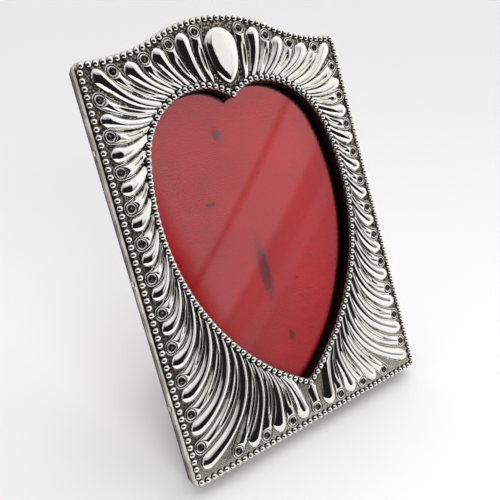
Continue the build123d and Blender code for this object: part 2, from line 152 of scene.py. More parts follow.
def heartOutline():  # ways point along the line, from the cusp to the tip
    place = np.array([0.0, heart["cusp"]])
    heading = math.radians(heart["cuspAngle"])
    points = [place]
    ways = [(math.cos(heading), math.sin(heading))]
    arcs = [(radius, math.radians(turn)) for radius, turn in heart["arcs"]]
    for count in range(len(arcs) + 1):
        if count == len(arcs):  # the last arc runs on, tangent, to the tip
            chord = np.array([0.0, heart["tip"]]) - place
            bend = heading - math.atan2(chord[1], chord[0])
            bend = (bend + math.pi) % (2 * math.pi) - math.pi
            arcs.append((np.linalg.norm(chord) / (2 * math.sin(bend)), 2 * bend))
        radius, turn = arcs[count]
        centre = place + radius * np.array([math.sin(heading), -math.cos(heading)])
        for a in heading - np.linspace(0, turn, heart["arcPoints"])[1:]:
            points.append(centre - radius * np.array([math.sin(a), -math.cos(a)]))
            ways.append((math.cos(a), math.sin(a)))
        heading -= turn
        place = points[-1]
    return Outline(points, ways)


border = borderOutline()
heartHalf = heartOutline()
# how steeply the way into the heart rises at its cusp and at its tip
cuspRise = -math.cos(math.radians(heart["cuspAngle"]))
tipRise = -heartHalf.ways[-1][0]


def borderAt(share, inset):
    point, inwards = border.at(share)
    return point + inwards * inset


def heartAt(share, inset):  # inset goes into the opening; the cusp and the tip are mitred
    point, way = heartHalf.at(share)
    moved = point - leftOf(way) * np.asarray(inset)[..., None]
    onAxis = (point[..., 0] < onLine) | (moved[..., 0] < 0)
    nearCusp = np.asarray(share) < 0.5
    mitre = np.where(nearCusp, heart["cusp"], heart["tip"]) + inset / np.where(nearCusp, cuspRise, tipRise)
    return np.stack([np.where(onAxis, 0, moved[..., 0]), np.where(onAxis, mitre, moved[..., 1])], -1)


# flutes: gadroon lobes take turns with eyed ribs all round, from the top centre to the foot centre
flutes = {
    "lobeIn": 5.0,
    "eyeIn": 6.2,
    "topEyes": (12.2, 26.6, 38.0, 51.1),
    "sideRibs": 11,
    "footRibs": 3,
    "sideEndIn": 15.2,
    "footLastIn": 21.5,
    "topCornerIn": (7.1, 4.5),
    "footCornerIn": (5.5, 7.6),
    "start": 1.3,
    "crease": 0.02,
    "toeHalf": 0.95,
    "toeSpread": 14.0,
    # from the first flute to the last: place and angle at the heart, bearing at the border
    "heartPlaces": (
        (-0.03, 0.0), (0, 0.052), (0.2, 0.193), (0.315, 0.269),
        (0.485, 0.458), (0.83, 0.786), (1, 0.911), (1.03, 1.0),
    ),
    "heartSwirls": ((0, 34), (0.2, 46), (0.315, 58), (0.43, 72), (0.54, 72), (0.83, 60), (1, 72)),
    "borderWays": (
        (-0.03, 270), (0, 267), (0.143, 248), (0.2, 233), (0.257, 206), (0.371, 165),
        (0.829, 164), (0.857, 131), (0.914, 113), (1, 76), (1.03, 90),
    ),
    "heartCurl": 0.42,
    "borderCurl": 0.36,
}


def topStation(x, inset):
    top = slice(2 * case["topPoints"] - 1)  # the two arcs share a point
    share = np.interp(x, border.points[top, 0], border.shares[top])
    return borderAt(share, inset), share


def stations():  # outer end and border share of each flute, with both centre lines
    half = case["wide"] / 2
    found = [topStation(0.0, flutes["lobeIn"])]
    insets = (flutes["eyeIn"], flutes["lobeIn"])
    eyes = flutes["topEyes"]
    for k in range(2 * len(eyes) - 1):
        found.append(topStation((eyes[k // 2] + eyes[(k + 1) // 2]) / 2, insets[k % 2]))
    x, v = half - flutes["topCornerIn"][0], case["shoulder"] - flutes["topCornerIn"][1]
    found.append((np.array([x, v]), border.nearest((half, case["shoulder"]))))
    pitch = (case["shoulder"] - 2 * flutes["sideEndIn"]) / (flutes["sideRibs"] - 1)
    for k in range(2 * flutes["sideRibs"] - 1):
        v = case["shoulder"] - flutes["sideEndIn"] - k * pitch / 2
        found.append((np.array([half - insets[k % 2], v]), border.nearest((half, v))))
    x, v = half - flutes["footCornerIn"][0], flutes["footCornerIn"][1]
    found.append((np.array([x, v]), border.nearest((half, 0.0))))
    pitch = (half - flutes["footLastIn"]) / flutes["footRibs"]
    for k in range(2 * flutes["footRibs"] + 1):
        x = half - flutes["footLastIn"] - k * pitch / 2
        found.append((np.array([x, insets[k % 2]]), border.nearest((x, 0.0))))
    return found


ends = stations()
endPoints = np.array([point for point, share in ends])
endShares = np.array([share for point, share in ends])
endIndex = np.arange(len(ends)) - 1.0  # -1 is the top centre line, even is an eyed rib, odd is a lobe
lastRib = len(ends) - 2


def knots(name, index):
    return np.interp(np.asarray(index, float) / (lastRib - 1), *np.transpose(flutes[name]))


def controls(index):  # the four control points of the guide at any index, whole or between two flutes
    index = np.asarray(index, float)
    point, along = heartHalf.at(knots("heartPlaces", index))
    into = -leftOf(along)
    swirl = np.radians(knots("heartSwirls", index))[..., None]
    way = into * np.cos(swirl) - along * np.sin(swirl)
    toCusp = np.clip(-index, 0, 1)[..., None]
    toTip = np.clip(index - lastRib + 1, 0, 1)[..., None]
    way = unit(way * (1 - toCusp - toTip) + np.array([0, -1.0]) * toCusp + np.array([0, 1.0]) * toTip)
    start = point - into * flutes["start"]
    start[..., 0] = np.maximum(start[..., 0] * (1 - toTip[..., 0]), 0)
    end = np.stack([np.interp(index, endIndex, endPoints[:, i]) for i in (0, 1)], -1)
    bearing = np.radians(knots("borderWays", index))
    endWay = np.stack([np.cos(bearing), np.sin(bearing)], -1)
    reach = np.linalg.norm(end - start, axis=-1, keepdims=True)
    return start, start - way * reach * flutes["heartCurl"], end + endWay * reach * flutes["borderCurl"], end


def guide(index, t):  # a point of the guide, t from 0 at the heart to 1 at the border
    index, t = np.broadcast_arrays(np.asarray(index, float), np.asarray(t, float))
    a, b, c, d = controls(index)
    t = t[..., None]
    return a * (1 - t) ** 3 + b * 3 * t * (1 - t) ** 2 + c * 3 * t * t * (1 - t) + d * t ** 3


def guideWay(index, t):
    step = 1e-3
    return unit(guide(index, t + step) - guide(index, t - step))


def endSpeed(index):  # millimetres of guide for each unit of t at its outer end
    beforeEnd, end = controls(np.array([index], float))[2:]
    return 3 * np.linalg.norm(end - beforeEnd)


def addObject(name, data):
    thing = bpy.data.objects.new(name, data)
    bpy.context.scene.collection.objects.link(thing)
    return thing


class Shell:  # gathers faces and a tone for each point, which is the silver's polish and, on the lining's card, its painted shadow, then becomes one piece
    def __init__(self):
        self.points = []
        self.tones = []
        self.faces = []
        self.count = 0

    def grid(self, face, out, tone, ringRows=False, ringColumns=False, capFirst=False, capLast=False):
        points = toRow(face[..., 0], face[..., 1], out)
        rows, columns = points.shape[:2]
        ids = self.count + np.arange(rows * columns).reshape(rows, columns)
        self.points.append(points.reshape(-1, 3))
        self.tones.append(np.broadcast_to(tone, (rows, columns)).reshape(-1))
        self.count += rows * columns
        if capFirst:
            self.faces.append(tuple(ids[0][::-1]))
        if capLast:
            self.faces.append(tuple(ids[-1]))
        if ringRows:
            ids = np.concatenate([ids, ids[:1]], 0)
        if ringColumns:
            ids = np.concatenate([ids, ids[:, :1]], 1)
        quads = np.stack([ids[:-1, :-1], ids[:-1, 1:], ids[1:, 1:], ids[1:, :-1]], -1).reshape(-1, 4)
        self.faces.extend(map(tuple, quads.tolist()))

    def bothSides(self, face, out, tone, onCentre=False, **how):  # what lies on the centre line is made once
        for hand in (1,) if onCentre else (1, -1):
            self.grid(flipped(face, hand), out, tone, **how)

    def piece(self, name, material, node, sharp):  # edges over the sharp angle stay crisp
        mesh = bpy.data.meshes.new(name)
        mesh.from_pydata(np.concatenate(self.points).tolist(), [], self.faces)
        layer = mesh.attributes.new("tone", "FLOAT", "POINT")
        layer.data.foreach_set("value", np.concatenate(self.tones).astype(np.float32))
        shaped = bmesh.new()
        shaped.from_mesh(mesh)
        bmesh.ops.remove_doubles(shaped, verts=shaped.verts, dist=weld)
        bmesh.ops.dissolve_degenerate(shaped, edges=shaped.edges, dist=weld)
        bmesh.ops.recalc_face_normals(shaped, faces=shaped.faces)
        shaped.to_mesh(mesh)
        shaped.free()
        mesh.polygons.foreach_set("use_smooth", [True] * len(mesh.polygons))
        mesh.set_sharp_from_angle(angle=math.radians(sharp))
        mesh.materials.append(material)
        thing = addObject(name, mesh)
        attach(thing, "frame")
        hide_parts(node)
        print(name, "has", len(mesh.polygons), "faces")


closedTube = {"ringColumns": True, "capFirst": True, "capLast": True}


def stacked(rows):  # rows of places, height and tone, as a grid takes them
    places, heights, tones = zip(*rows)
    return np.array(places), np.array(heights)[:, None], np.array(tones)[:, None]


class Signal:  # a socket that adds, takes away and scales like a number
    def __init__(self, finish, socket):
        self.finish = finish
        self.socket = socket

    def __add__(self, other):
        return self.finish.maths("ADD", self, other)

    def __sub__(self, other):
        return self.finish.maths("SUBTRACT", self, other)

    def __rsub__(self, other):
        return self.finish.maths("SUBTRACT", other, self)

    def __mul__(self, other):
        return self.finish.maths("MULTIPLY", self, other)

    __radd__ = __add__
    __rmul__ = __mul__

    def clamp(self):
        return self.finish.add("ShaderNodeClamp", {}, {0: self})

    def step(self, low, high):  # eases from 0 at low to 1 at high
        sockets = {0: self, 1: low, 2: high, 3: 0.0, 4: 1.0}
        return self.finish.add("ShaderNodeMapRange", {"interpolation_type": "SMOOTHSTEP"}, sockets)


class Finish:  # one node tree, of a material or of the world
    def __init__(self, tree):
        self.tree = tree
        tree.nodes.clear()

    def add(self, kind, settings=None, sockets=None, output=0):
        node = self.tree.nodes.new(kind)
        for name, value in (settings or {}).items():
            if name == "stops":
                stops = node.color_ramp.elements
                while len(stops) < len(value):
                    stops.new(1.0)
                for stop, (place, colour) in zip(stops, value):
                    stop.position = place
                    stop.color = (*colour, 1.0)
            else:
                setattr(node, name, value)
        for name, value in (sockets or {}).items():
            if isinstance(value, Signal):
                self.tree.links.new(value.socket, node.inputs[name])
            elif isinstance(value, tuple) and len(value) == 3 and node.inputs[name].type == "RGBA":
                node.inputs[name].default_value = (*value, 1.0)
            else:
                node.inputs[name].default_value = value
        return Signal(self, node.outputs[output]) if node.outputs else None

    def maths(self, operation, first, second=0.0):
        return self.add("ShaderNodeMath", {"operation": operation}, {0: first, 1: second})

    def blend(self, factor, first, second):
        return self.add("ShaderNodeMix", {"data_type": "RGBA"}, {0: factor, 6: first, 7: second}, 2)

    def place(self):  # millimetres in the piece's own frame
        spot = self.add("ShaderNodeTexCoord", output=3)
        return self.add("ShaderNodeVectorMath", {"operation": "SCALE"}, {0: spot, "Scale": 1 / mm})

    def parts(self, vector):
        split = self.add("ShaderNodeSeparateXYZ", {}, {0: vector})
        return [Signal(self, socket) for socket in split.socket.node.outputs]

    def tone(self):  # the tone that a piece's points carry: the silver's polish, and on the lining's card its painted shadow
        return self.add("ShaderNodeAttribute", {"attribute_name": "tone"}, output=2)

    def stretch(self, vector, scale):
        return self.add("ShaderNodeMapping", {}, {"Vector": vector, "Scale": scale})

    def tilt(self, vector, degrees):
        turn = (math.radians(degrees), 0.0, 0.0)
        return self.add("ShaderNodeMapping", {}, {"Vector": vector, "Rotation": turn})

    def noise(self, vector, scale, detail, rough=0.5):
        sockets = {"Vector": vector, "Scale": scale, "Detail": detail, "Roughness": rough}
        return self.add("ShaderNodeTexNoise", {}, sockets)

    def bump(self, height, strength, depth):  # depth in millimetres
        sockets = {"Height": height, "Strength": strength, "Distance": depth * mm}
        return self.add("ShaderNodeBump", {}, sockets)

    def surface(self, sockets):
        shader = self.add("ShaderNodeBsdfPrincipled", {}, sockets)
        self.add("ShaderNodeOutputMaterial", {}, {"Surface": shader})


def newMaterial(name):
    material = bpy.data.materials.new(name)
    material.use_nodes = True
    return material, Finish(material.node_tree)


# old silver: polished on the high places, brown and then black in the hollows
silverLook = {
    "tones": (
        (0.0, (0.020, 0.018, 0.016)),
        (0.25, (0.095, 0.088, 0.075)),
        (0.45, (0.40, 0.375, 0.31)),
        (0.7, (0.86, 0.845, 0.785)),
        (1.0, (0.93, 0.925, 0.885)),
    ),
    "cloud": (0.11, 4.0),  # scale, detail and, for some, roughness of each noise
    "fine": (1.4, 5.0, 0.6),
    "rubs": (1.1, 2.0),
    "dents": (0.35, 2.0),
    "rubStretch": (0.5, 2.2, 2.2),
    "pebbleScale": 1.1,
    "front": (-1.0, -0.3),  # millimetres out: the turned sides are mottled, not pebbled
    "ground": (0.25, 0.6),  # tones of the ground up to those of the polished work
    "fineShare": 0.3,
    "cloudMiddle": 0.45,
    "cloudSides": 0.7,
    "cloudFront": 0.2,
    "pebbleMiddle": 0.4,
    "pebbleShare": 0.85,
    "polish": 0.04,
    "dull": 0.42,
    "dullLevels": (0.2, 0.7),
    "rubShare": 0.05,
    "dentDeep": 0.35,
    "pebbleDeep": 0.6,
    "bump": (0.5, 0.25),  # strength, and depth in millimetres
}


def silver():
    material, finish = newMaterial("oldSilver")
    look = silverLook
    spot = finish.place()
    tone = finish.tone()
    cloud = finish.noise(spot, *look["cloud"])
    fine = finish.noise(spot, *look["fine"])
    pebble = finish.add("ShaderNodeTexVoronoi", {}, {"Vector": spot, "Scale": look["pebbleScale"]})
    y, z = finish.parts(spot)[1:]
    out = (frontY - y) * leanCos + (z - frontZ) * leanSin
    front = out.step(*look["front"])
    ground = (1 - tone.step(*look["ground"])) * front
    clouded = look["cloudSides"] - front * (look["cloudSides"] - look["cloudFront"])
    mottle = (look["cloudMiddle"] - cloud) * clouded
    grains = ground * (look["pebbleMiddle"] - pebble) * look["pebbleShare"]
    level = tone + (fine - 0.5) * look["fineShare"] + mottle + grains
    rubs = finish.noise(finish.stretch(spot, look["rubStretch"]), *look["rubs"])
    dulled = (1 - level.step(*look["dullLevels"])) * look["dull"]
    height = finish.noise(spot, *look["dents"]) * look["dentDeep"] - ground * pebble * look["pebbleDeep"]
    finish.surface({
        "Base Color": finish.add("ShaderNodeValToRGB", {"stops": look["tones"]}, {0: level.clamp()}),
        "Metallic": 1.0,
        "Roughness": look["polish"] + dulled + rubs * look["rubShare"],
        "Normal": finish.bump(height, *look["bump"]),
    })
    return material


silverFinish = silver()

# embossed sheet: ground, rolled edge, turned sides and the heart's return, closed behind
sheetLook = {
    "plainColumns": 10,
    "cornerColumns": 30,
    "cornerSteps": (6, 7, 28, 29),  # the steps before and after the lobe in each corner
    "lipFlat": 0.2,
    "groundRows": (0.0, 0.5, 1.0),
    "groundFrom": 2.2,  # outside the heart's bead line
    "groundTo": 3.4,  # inside the border
    "bedRows": ((2.4, 0.4), (1.75, 0.55)),  # inset and tone under the outer beads
    "rollTurns": (0, 15, 30, 45, 60, 75, 90),
    "sideMiddle": 0.55,
    "hem": 0.3,
    "hemIn": 0.12,
    "lipTurns": (0, 30, 60, 90),
    "tones": {
        "lip": 0.7,
        "innerBed": 0.1,
        "ground": 0.3,
        "groundRise": 0.08,
        "roll": 0.6,
        "sideMiddle": 0.36,
        "sideFoot": 0.33,
        "hem": 0.35,
        "behind": 0.3,
        # tarnish, and painted shade inside the heart's opening: the return is darkest at its far end
        "return": -0.4,
        "returnEnd": -0.6,
        "lipLow": 0.05,
        "lipRise": 0.55,
    },
    "footLift": 0.17,  # the face is brighter low down, apart from tones up to liftAbove
    "footRise": (6.0, 50.0),
    "liftAbove": 0.2,
}


def sheetColumns():
    found = []
    for step in range(-1, lastRib):
        count = sheetLook["cornerColumns" if step in sheetLook["cornerSteps"] else "plainColumns"]
        found.extend(step + np.arange(count) / count)
    return np.array(found + [lastRib])


def makeSheet():
    index = sheetColumns()
    heartShare = knots("heartPlaces", index)
    borderShare = np.interp(index, endIndex, endShares)
    edge, lip, inner = heart["edge"], heart["lipRoll"], heart["edge"] - case["sheet"]
    thick, roll, depth = case["sheet"], case["edgeRoll"], case["sideDepth"]
    tones = sheetLook["tones"]
    rows = []

    def byHeart(inset, out, tone):
        rows.append((heartAt(heartShare, inset), out, tone))

    def byBorder(inset, out, tone):
        rows.append((borderAt(borderShare, inset), out, tone))

    byHeart(edge - lip - sheetLook["lipFlat"], 0.0, tones["lip"])
    byHeart(0.0, 0.0, tones["innerBed"])
    low = heartAt(heartShare, -sheetLook["groundFrom"])
    high = borderAt(borderShare, sheetLook["groundTo"])
    for t in sheetLook["groundRows"]:
        rows.append((low + (high - low) * t, 0.0, tones["ground"] + tones["groundRise"] * t))
    for inset, tone in sheetLook["bedRows"]:
        byBorder(inset, 0.0, tone)
    for a in np.radians(sheetLook["rollTurns"]):
        byBorder(roll * (1 - math.sin(a)), roll * (math.cos(a) - 1), tones["roll"])
    byBorder(0.0, -sheetLook["sideMiddle"] * depth, tones["sideMiddle"])
    byBorder(0.0, sheetLook["hem"] - depth, tones["sideFoot"])
    byBorder(sheetLook["hemIn"], -depth, tones["hem"])
    byBorder(thick, -depth, tones["behind"])
    byBorder(thick, -thick, tones["behind"])
    byHeart(inner, -thick, tones["return"])
    byHeart(inner, -heart["returnDepth"], tones["return"])
    byHeart(edge, -heart["returnDepth"], tones["returnEnd"])
    for a in np.radians(sheetLook["lipTurns"]):
        tone = tones["lipLow"] + tones["lipRise"] * math.sin(a)
        byHeart(edge - lip * (1 - math.cos(a)), lip * (math.sin(a) - 1), tone)
    half, out, tone = stacked(rows)
    face = np.concatenate([half, flipped(half[:, -2:0:-1])], 1)
    lift = sheetLook["footLift"] * (1 - smooth(*sheetLook["footRise"], face[..., 1]))
    tone = tone + np.where((out == 0) & (tone > sheetLook["liftAbove"]), lift, 0)
    shell = Shell()
    shell.grid(face, out, tone, ringRows=True, ringColumns=True)
    shell.piece("silverSheet", silverFinish, "silver_front", sharp=50.0)


makeSheet()


def fluteRoom(k, t):  # points of a flute, its normals, and half the room to the flutes above and below
    side = leftOf(guideWay(k, t))
    here = guide(k, t)
    near = [other for other in (k - 1, k + 1) if -1 < other <= lastRib]
    gaps = [np.abs(((guide(other, t) - here) * side).sum(-1)) / 2 for other in (near[0], near[-1])]
    toe = flutes["toeHalf"] + flutes["toeSpread"] * np.clip(t, 0, 1)
    return here, side, np.minimum(np.array(gaps) - flutes["crease"], toe)


def fluteTurn(look):  # 0 along the body of a flute, then a quarter turn over its rounded end
    return np.concatenate([np.zeros(look["bodyRows"]), np.linspace(0, math.pi / 2, look["endRows"] + 1)[1:]])


def fluteSpread(look):  # from -1 below to 1 above, closer together at the sides
    return np.sin(np.linspace(-1, 1, look["columns"]) * math.pi / 2)


# lobes: club-shaped flutes, full and round at the border and drawn out thin at the heart
lobe = {
    "toeHigh": 0.5,
    "high": 2.4,
    "swell": 1.15,
    "headHalf": 3.75,
    "bulb": 0.5,
    "bulbFrom": (0.6, 0.95),
    "headLong": 4.4,
    "pastEnd": 0.9,  # the head ends this much nearer the beads than its station
    "crown": 0.82,
    "flat": 2.4,
    "endFall": 0.9,
    "sink": 0.08,
    "sideTone": (-0.12, 0.25),
    "endTone": (-0.05, 0.25),
    "bodyRows": 40,
    "endRows": 16,
    "columns": 23,
}


def makeLobes():
    shell = Shell()
    across = fluteSpread(lobe)
    turn = fluteTurn(lobe)
    rise = (1 - np.abs(across) ** lobe["flat"]) ** lobe["crown"]
    tone = smooth(*lobe["sideTone"], rise)[None, :] * smooth(*lobe["endTone"], np.cos(turn))[:, None]
    for k in range(1, lastRib, 2):
        last = 1 + lobe["pastEnd"] / endSpeed(k)
        headFrom = last - lobe["headLong"] / endSpeed(k)
        t = np.concatenate([np.linspace(0, headFrom, lobe["bodyRows"]), np.full(lobe["endRows"], headFrom)])
        t = t + (last - headFrom) * np.sin(turn)
        here, side, gaps = fluteRoom(k, t)
        bulb = lobe["bulb"] * smooth(*lobe["bulbFrom"], t)
        above, below = np.minimum(gaps + bulb, lobe["headHalf"]) * np.cos(turn)
        reach = np.where(across > 0, above[:, None], below[:, None]) * across
        swell = np.sin(math.pi / 2 * np.clip(t / headFrom, 0, 1) ** lobe["swell"])
        tall = lobe["toeHigh"] + (lobe["high"] - lobe["toeHigh"]) * swell
        tall = tall * np.cos(turn) ** lobe["endFall"]
        face = here[:, None, :] + side[:, None, :] * reach[:, :, None]
        out = tall[:, None] * rise[None, :] - lobe["sink"]
        shell.bothSides(face, out, tone, ringColumns=True, capFirst=True)
    shell.piece("silverLobes", silverFinish, "silver_front", sharp=60.0)


makeLobes()

# wires: a thin one round each eye, which runs on down both sides of its rib
wire = {
    "from": 0.62,  # share of the guide where the wire starts, and where it is at its full radius
    "to": 0.96,
    "radius": 2.75,
    "half": 0.22,
    "rise": 0.45,
    "startShare": 0.5,  # of its half width
    "swell": (0.57, 0.95),  # shares of the guide between which it rises and thickens
    "tone": (-0.6, 0.4),
    "sideRows": 22,
    "bowRows": 15,
    "segments": 8,
}


def ribRoom(k, t):  # the room of a flute, eased to the wire round the eye
    here, side, gaps = fluteRoom(k, t)
    toEye = smooth(wire["from"], wire["to"], t)
    above, below = np.minimum(gaps * (1 - toEye) + wire["radius"] * toEye, wire["radius"])
    return here, side, above, below


# ribs: as wide as the lobes part way, reeded, and hollowed at the outer end round an eye
rib = {
    "toeHigh": 0.45,
    "high": 1.7,
    "crown": 0.8,
    "eyeRoom": 2.35,
    "endLong": 1.3,
    "endFall": 0.6,
    "halfLeast": 0.15,
    "sink": 0.06,
    "reedDeep": 0.5,
    "reedStart": (0.12, 0.4),
    "reedEnd": (0.6, 0.95),
    "sideTone": (-0.1, 0.35),
    "endTone": (-0.3, 0.2),
    "bodyRows": 40,
    "endRows": 10,
    "columns": 33,
}


def makeRibs():
    shell = Shell()
    across = fluteSpread(rib)
    turn = fluteTurn(rib)
    body = np.linspace(0, 1, rib["bodyRows"])
    along = np.concatenate([body, np.ones(rib["endRows"])])
    rise = (1 - across ** 2) ** rib["crown"]
    tall = (rib["toeHigh"] + (rib["high"] - rib["toeHigh"]) * along) * np.cos(turn) ** rib["endFall"]
    polish = smooth(*rib["sideTone"], rise)[None, :] * smooth(*rib["endTone"], np.cos(turn))[:, None]
    reeded = smooth(*rib["reedStart"], along) * (1 - smooth(*rib["reedEnd"], along))
    groove = (0.5 + 0.5 * np.cos(2 * math.pi * across))[None, :]
    for k in range(0, lastRib + 1, 2):
        speed = endSpeed(k)
        endShare = rib["endLong"] / speed
        columns = []
        for share in across:
            wideHere = share * (wire["radius"] - wire["half"])
            bodyEnd = 1 - math.sqrt(max(rib["eyeRoom"] ** 2 - wideHere ** 2, 0)) / speed - endShare
            t = np.concatenate([body * bodyEnd, np.full(rib["endRows"], bodyEnd)]) + endShare * np.sin(turn)
            here, side, above, below = ribRoom(k, t)
            half = np.maximum((above if share > 0 else below) - wire["half"], rib["halfLeast"])
            columns.append(here + side * (share * half)[:, None])
        onCentre = k == lastRib  # the last rib is plain
        kept = 1 - (0 if onCentre else rib["reedDeep"]) * reeded[:, None] * groove
        out = tall[:, None] * rise[None, :] * kept - rib["sink"]
        shell.bothSides(np.stack(columns, 1), out, polish * kept, onCentre, **closedTube)
    shell.piece("silverRibs", silverFinish, "silver_front", sharp=60.0)


makeRibs()


def makeOutlines():
    shell = Shell()
    around = circle(wire["segments"])
    t = np.linspace(wire["from"], 1.0, wire["sideRows"])
    arc = np.linspace(0, math.pi, wire["bowRows"])[1:-1, None]
    full = np.concatenate([t, np.ones(len(arc)), t[::-1]])
    full = smooth(*wire["swell"], full)[:, None]
    thick = wire["half"] * (wire["startShare"] + (1 - wire["startShare"]) * full)
    out = wire["rise"] * full + thick * around[:, 1]
    tone = smooth(*wire["tone"], around[:, 1])
    for k in range(0, lastRib + 1, 2):
        here, side, above, below = ribRoom(k, t)
        outwards = guideWay(k, np.array([1.0]))[0]
        bow = here[-1] + wire["radius"] * (np.sin(arc) * outwards - np.cos(arc) * side[-1])
        path = np.concatenate([here - side * below[:, None], bow, (here + side * above[:, None])[::-1]])
        normal = leftOf(unit(np.gradient(path, axis=0)))
        face = path[:, None, :] + normal[:, None, :] * (thick * around[:, 0])[:, :, None]
        shell.bothSides(face, out, tone, k == lastRib, **closedTube)
    shell.piece("silverOutlines", silverFinish, "silver_front", sharp=80.0)


makeOutlines()

# domes: pips and beads are round caps, sunk a little in the sheet and polished on top
domeLook = {"sink": 0.05, "tone": (0.2, 0.85)}


def dome(shell, centre, radius, high, rings, segments, clean=1.0):
    rising = np.linspace(0, math.pi / 2, rings)
    reach = radius * np.cos(rising)
    out = -domeLook["sink"] + (high + domeLook["sink"]) * np.sin(rising)[:, None]
    tone = smooth(*domeLook["tone"], np.sin(rising))[:, None] * clean
    face = centre + reach[:, None, None] * circle(segments)
    shell.grid(face, out, tone, ringColumns=True, capFirst=True)


# eyes: a ring with a dark pip in it, at the outer end of each rib
eye = {
    "radius": 1.8,
    "wire": 0.3,
    "rise": 0.45,
    "ringTone": (-0.5, 0.6),
    "segments": 28,
    "wireSegments": 10,
    "pipRadius": 1.05,
    "pipHigh": 0.8,
    "pipTone": 0.3,
    "pipRings": 7,
    "pipSegments": 18,
}


def makeEyes():
    shell = Shell()
    tube = circle(eye["wireSegments"])
    ring = (eye["radius"] + eye["wire"] * tube[:, 0])[:, None] * circle(eye["segments"])[:, None, :]
    out = eye["rise"] + eye["wire"] * tube[:, 1]
    tone = smooth(*eye["ringTone"], tube[:, 1])
    for k in range(0, lastRib + 1, 2):
        for hand in (-1, 1) if k < lastRib else (1,):
            centre = flipped(endPoints[k + 1], hand)
            shell.grid(centre + ring, out, tone, ringRows=True, ringColumns=True)
            pip = (eye["pipRadius"], eye["pipHigh"], eye["pipRings"], eye["pipSegments"])
            dome(shell, centre, *pip, eye["pipTone"])
    shell.piece("silverEyes", silverFinish, "silver_front", sharp=80.0)


makeEyes()

# plain drop at the top centre: a nearly flat oval plate with a round flank, drawn to a point below
drop = {
    "radius": 7.8,
    "up": 166.6,
    "tip": 150.5,
    "taper": 0.12,  # a smaller number makes the lower part fuller
    "taperLate": 2.2,
    "high": 2.6,
    "middle": 164.0,
    "flank": 0.3,
    "crown": 0.22,
    "sink": 0.05,
    "edgeTone": (0.02, 0.4),
    "rings": 24,
    "segments": 96,
}


def makeDrop():
    right, above = circle(drop["segments"]).T
    low = np.clip(-above, 0, 1)
    wide = drop["radius"] * right * np.where(low > 0, (1 - low ** drop["taperLate"]) ** drop["taper"], 1)
    fall = drop["up"] - drop["tip"]
    line = np.stack([wide, drop["up"] + np.where(low > 0, -low * fall, drop["radius"] * above)], -1)
    middle = np.array([0, drop["middle"]])
    reach = np.sin(np.linspace(math.pi / 2, 0, drop["rings"]))
    edge = np.clip((1 - reach) / drop["flank"], 0, 1)
    rise = (1 - drop["crown"]) * (1 - (1 - edge) ** 2) ** 0.5 + drop["crown"] * (1 - reach ** 2)
    face = middle + (line - middle)[None] * reach[:, None, None]
    out = (rise * drop["high"] - drop["sink"])[:, None]
    shell = Shell()
    shell.grid(face, out, smooth(*drop["edgeTone"], rise)[:, None], ringColumns=True, capFirst=True)
    shell.piece("silverDrop", silverFinish, "silver_front", sharp=80.0)


makeDrop()

# bead rows: one along the border and one round the heart
beads = {
    "inset": 2.0,
    "radius": 1.36,
    "high": 1.3,
    "outerCount": 195,
    "innerSteps": 63,
    "lineSteps": 3000,
    "rings": 7,
    "segments": 18,
}


def makeBeads(name, node, places):
    shell = Shell()
    for place in places:
        dome(shell, place, beads["radius"], beads["high"], beads["rings"], beads["segments"])
    shell.piece(name, silverFinish, node, sharp=80.0)


def outerPlaces():
    half = borderAt(np.linspace(0, 1, beads["lineSteps"] + 1), beads["inset"])
    whole = np.concatenate([half[::-1], flipped(half)[1:]])
    line = Outline(whole, np.gradient(whole, axis=0))
    return line.at(np.arange(beads["outerCount"]) / beads["outerCount"])[0]


def innerPlaces():
    found = []
    for count in range(beads["innerSteps"] + 1):
        place = heartHalf.at(count / beads["innerSteps"])[0]
        onCentre = count in (0, beads["innerSteps"])
        found.extend(flipped(place, hand) for hand in ((1,) if onCentre else (-1, 1)))
    return found


makeBeads("outerBeads", "outer_beading", outerPlaces())
makeBeads("innerBeads", "inner_beading", innerPlaces())
print("silver front made")

# glass: clear, with its own reflections; lamps shine through it on to the lining
glassLook = {"colour": (0.97, 0.985, 0.975), "rough": 0.0, "bend": 1.5}


def clearGlass():
    material, finish = newMaterial("oldGlass")
    pane = finish.add("ShaderNodeBsdfPrincipled", {}, {
        "Base Color": glassLook["colour"],
        "Roughness": glassLook["rough"],
        "IOR": glassLook["bend"],
        "Transmission Weight": 1.0,
    })
    passing = finish.add("ShaderNodeBsdfTransparent")
    shadowRay = finish.add("ShaderNodeLightPath", output=1)
    both = finish.add("ShaderNodeMixShader", {}, {0: shadowRay, 1: pane, 2: passing})
    finish.add("ShaderNodeOutputMaterial", {}, {"Surface": both})
    return material


